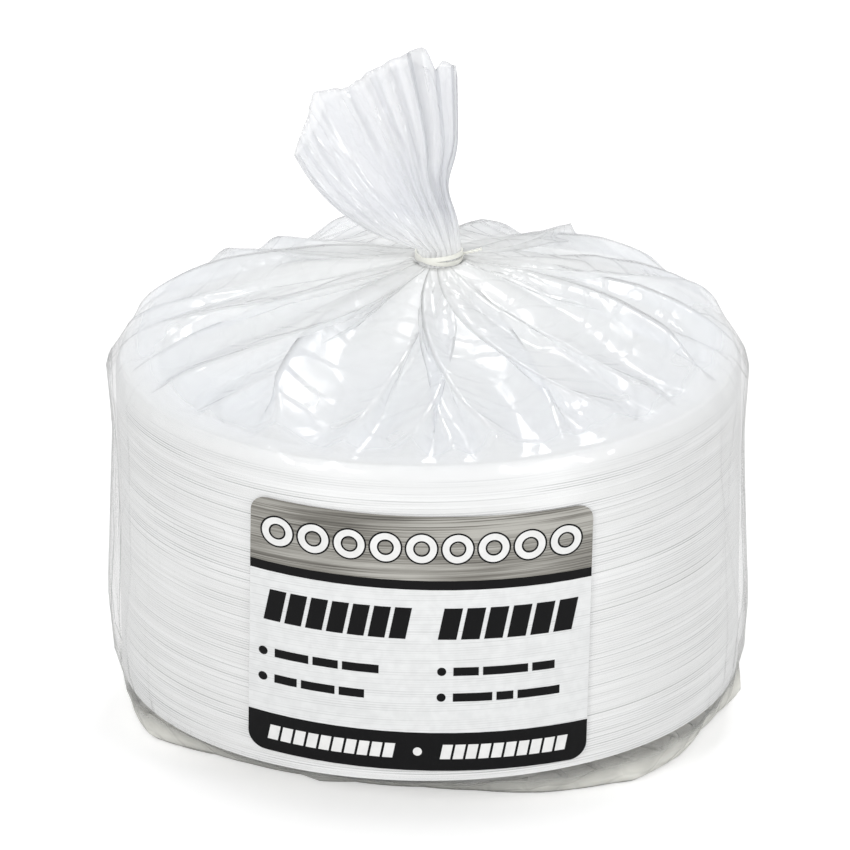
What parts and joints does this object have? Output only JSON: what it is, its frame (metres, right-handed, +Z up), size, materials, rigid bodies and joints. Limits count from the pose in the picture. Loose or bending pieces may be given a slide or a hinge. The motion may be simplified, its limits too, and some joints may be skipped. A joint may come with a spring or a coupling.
{
  "type": "stack of disposable plastic plates in a film bag",
  "caption": "Tall nested stack of round white disposable plates in a clear film bag, gathered and tied at the neck, with a plain printed panel on its front.",
  "frame": {"origin": "on the floor, under the axis of the stack", "axes": "+Z up the stack, -Y out of the printed front, +X to the right of someone who looks at the print"},
  "size_m": [0.2375, 0.2333, 0.2503],
  "materials": {
    "plate": "white polystyrene, smooth with a soft sheen",
    "bag_film": "clear thin polyethylene film, creased and gathered",
    "neck_tie": "narrow pale plastic ribbon",
    "print_white": "opaque white ink on the film",
    "print_grey": "thin grey ink that the plates' edges show through",
    "print_black": "opaque black ink on the film"
  },
  "bodies": {
    "root": {"plates_001_005": "plate", "plates_006_010": "plate", "plates_011_015": "plate", "plates_016_020": "plate", "plates_021_025": "plate", "plates_026_030": "plate", "plates_031_035": "plate", "plates_036_040": "plate", "plates_041_045": "plate", "plates_046_050": "plate", "plates_051_055": "plate", "plates_056_060": "plate", "plates_061_065": "plate", "plates_066_070": "plate", "plates_071_075": "plate", "plates_076_080": "plate", "plates_081_085": "plate", "plates_086_090": "plate", "plates_091_095": "plate", "plates_096_100": "plate", "plates_101_105": "plate", "plates_106_110": "plate", "plates_111_115": "plate", "plates_116_120": "plate", "plates_121_125": "plate", "bag_film": "bag_film", "neck_tie": "neck_tie", "print_white_panel": "print_white", "print_grey_band": "print_grey", "print_black_fields": "print_black", "print_dark_marks": "print_black", "print_white_marks": "print_white"}
  },
  "joints": []
}
